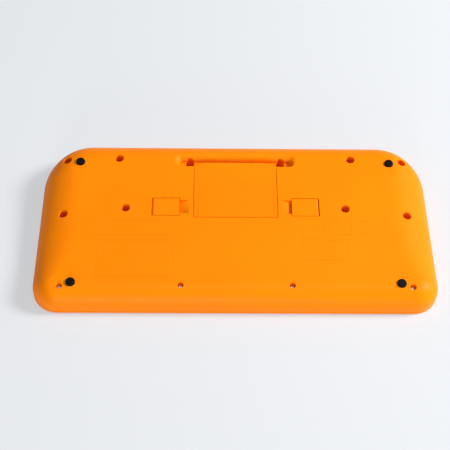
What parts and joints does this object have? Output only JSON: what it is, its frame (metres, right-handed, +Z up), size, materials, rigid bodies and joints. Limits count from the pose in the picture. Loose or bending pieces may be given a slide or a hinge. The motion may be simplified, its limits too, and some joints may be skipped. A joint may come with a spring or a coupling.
{
  "type": "kids toy tablet",
  "caption": "Orange toy tablet lying on its face: rounded wedge body with a battery cover, fold-out tilt feet, hand grip trough, screw wells and rubber feet.",
  "frame": {"origin": "middle of the outline, on the surface that the rim of the face rests on; the toy lies face down, as in the picture", "axes": "+X along the width, to the picture's right; +Y from the near edge to the hand grip edge; +Z up, out of the underside"},
  "size_m": [0.3616, 0.1752, 0.0367],
  "materials": {
    "orange_shell": "satin moulded",
    "orange_cover": "satin moulded",
    "orange_tilt_foot": "satin moulded",
    "orange_face": "satin moulded",
    "black_rubber": "smooth rubber",
    "plated_steel": "zinc plated",
    "pin_steel": "drawn steel",
    "spring_steel": "bright wire",
    "nickel_contact": "nickel plated",
    "cell_jacket": "printed film jacket",
    "board_green": "solder resist",
    "chip_black": "moulded package",
    "mat_rubber": "silicone sheet",
    "display_grey": "display glass",
    "smoked_window": "smoked clear plastic",
    "basket_steel": "pressed steel",
    "cone_paper": "pressed paper",
    "magnet_ferrite": "ground ferrite",
    "switch_black": "moulded",
    "knob_white": "moulded",
    "red_wire": "wire sleeve",
    "black_wire": "wire sleeve",
    "key_red": "moulded",
    "key_yellow": "moulded",
    "key_green": "moulded",
    "key_blue": "moulded"
  },
  "bodies": {
    "body": {"back_shell": "orange_shell", "front_shell": "orange_face", "tilt_foot_pin_left": "pin_steel", "rubber_foot_front_left": "black_rubber", "rubber_foot_rear_left": "black_rubber", "tilt_foot_pin_right": "pin_steel", "rubber_foot_front_right": "black_rubber", "rubber_foot_rear_right": "black_rubber", "case_screw_long_01": "plated_steel", "case_screw_long_02": "plated_steel", "case_screw_long_03": "plated_steel", "case_screw_long_04": "plated_steel", "case_screw_long_05": "plated_steel", "case_screw_long_06": "plated_steel", "case_screw_long_07": "plated_steel", "case_screw_long_08": "plated_steel", "case_screw_long_09": "plated_steel", "case_screw_long_10": "plated_steel", "case_screw_short_01": "plated_steel", "case_screw_short_02": "plated_steel", "case_screw_short_03": "plated_steel", "case_screw_short_04": "plated_steel", "cell_1": "cell_jacket", "battery_spring_1": "spring_steel", "cell_2": "cell_jacket", "battery_spring_2": "spring_steel", "cell_3": "cell_jacket", "battery_spring_3": "spring_steel", "battery_contact_left_link": "nickel_contact", "battery_contact_left_end": "nickel_contact", "battery_contact_right_end": "nickel_contact", "battery_contact_right_link": "nickel_contact", "main_board": "board_green", "switch_board": "board_green", "controller_chip": "chip_black", "key_mat": "mat_rubber", "display_module": "display_grey", "display_window": "smoked_window", "speaker_basket": "basket_steel", "speaker_cone": "cone_paper", "speaker_magnet": "magnet_ferrite", "switch_body": "switch_black", "power_wire_red": "red_wire", "power_wire_black": "black_wire"},
    "cover": {"battery_cover": "orange_cover"},
    "tilt_foot_left": {"tilt_foot_left": "orange_tilt_foot"},
    "tilt_foot_right": {"tilt_foot_right": "orange_tilt_foot"},
    "switch_knob": {"switch_knob": "knob_white"},
    "picture_key_01": {"picture_key_01": "key_red"},
    "picture_key_02": {"picture_key_02": "key_yellow"},
    "picture_key_03": {"picture_key_03": "key_green"},
    "picture_key_04": {"picture_key_04": "key_blue"},
    "picture_key_05": {"picture_key_05": "key_red"},
    "picture_key_06": {"picture_key_06": "key_green"},
    "picture_key_07": {"picture_key_07": "key_blue"},
    "picture_key_08": {"picture_key_08": "key_red"},
    "picture_key_09": {"picture_key_09": "key_yellow"},
    "picture_key_10": {"picture_key_10": "key_green"},
    "round_key_left": {"round_key_left": "key_green"},
    "round_key_right": {"round_key_right": "key_red"}
  },
  "joints": [
    {"name": "cover_swing", "type": "hinge", "parent": "body", "child": "cover", "pos_m": [0, -0.00319, 0.03028], "axis": [1, 0, 0], "range_deg": [0, 75]},
    {"name": "tilt_foot_left_swing", "type": "hinge", "parent": "body", "child": "tilt_foot_left", "pos_m": [-0.0746, 0.00823, 0.02897], "axis": [0, -0.9976, -0.0698], "range_deg": [0, 90]},
    {"name": "tilt_foot_right_swing", "type": "hinge", "parent": "body", "child": "tilt_foot_right", "pos_m": [0.0746, 0.00823, 0.02897], "axis": [0, 0.9976, 0.0698], "range_deg": [0, 90]},
    {"name": "picture_key_01_press", "type": "slide", "parent": "body", "child": "picture_key_01", "axis": [0, 0, 1], "range_m": [0, 0.0012], "stiffness_N_per_m": 300},
    {"name": "picture_key_02_press", "type": "slide", "parent": "body", "child": "picture_key_02", "axis": [0, 0, 1], "range_m": [0, 0.0012], "stiffness_N_per_m": 300},
    {"name": "picture_key_03_press", "type": "slide", "parent": "body", "child": "picture_key_03", "axis": [0, 0, 1], "range_m": [0, 0.0012], "stiffness_N_per_m": 300},
    {"name": "picture_key_04_press", "type": "slide", "parent": "body", "child": "picture_key_04", "axis": [0, 0, 1], "range_m": [0, 0.0012], "stiffness_N_per_m": 300},
    {"name": "picture_key_05_press", "type": "slide", "parent": "body", "child": "picture_key_05", "axis": [0, 0, 1], "range_m": [0, 0.0012], "stiffness_N_per_m": 300},
    {"name": "picture_key_06_press", "type": "slide", "parent": "body", "child": "picture_key_06", "axis": [0, 0, 1], "range_m": [0, 0.0012], "stiffness_N_per_m": 300},
    {"name": "picture_key_07_press", "type": "slide", "parent": "body", "child": "picture_key_07", "axis": [0, 0, 1], "range_m": [0, 0.0012], "stiffness_N_per_m": 300},
    {"name": "picture_key_08_press", "type": "slide", "parent": "body", "child": "picture_key_08", "axis": [0, 0, 1], "range_m": [0, 0.0012], "stiffness_N_per_m": 300},
    {"name": "picture_key_09_press", "type": "slide", "parent": "body", "child": "picture_key_09", "axis": [0, 0, 1], "range_m": [0, 0.0012], "stiffness_N_per_m": 300},
    {"name": "picture_key_10_press", "type": "slide", "parent": "body", "child": "picture_key_10", "axis": [0, 0, 1], "range_m": [0, 0.0012], "stiffness_N_per_m": 300},
    {"name": "round_key_left_press", "type": "slide", "parent": "body", "child": "round_key_left", "axis": [0, 0, 1], "range_m": [0, 0.0012], "stiffness_N_per_m": 300},
    {"name": "round_key_right_press", "type": "slide", "parent": "body", "child": "round_key_right", "axis": [0, 0, 1], "range_m": [0, 0.0012], "stiffness_N_per_m": 300},
    {"name": "power_slide", "type": "slide", "parent": "body", "child": "switch_knob", "axis": [1, 0, 0], "range_m": [0, 0.006]}
  ]
}
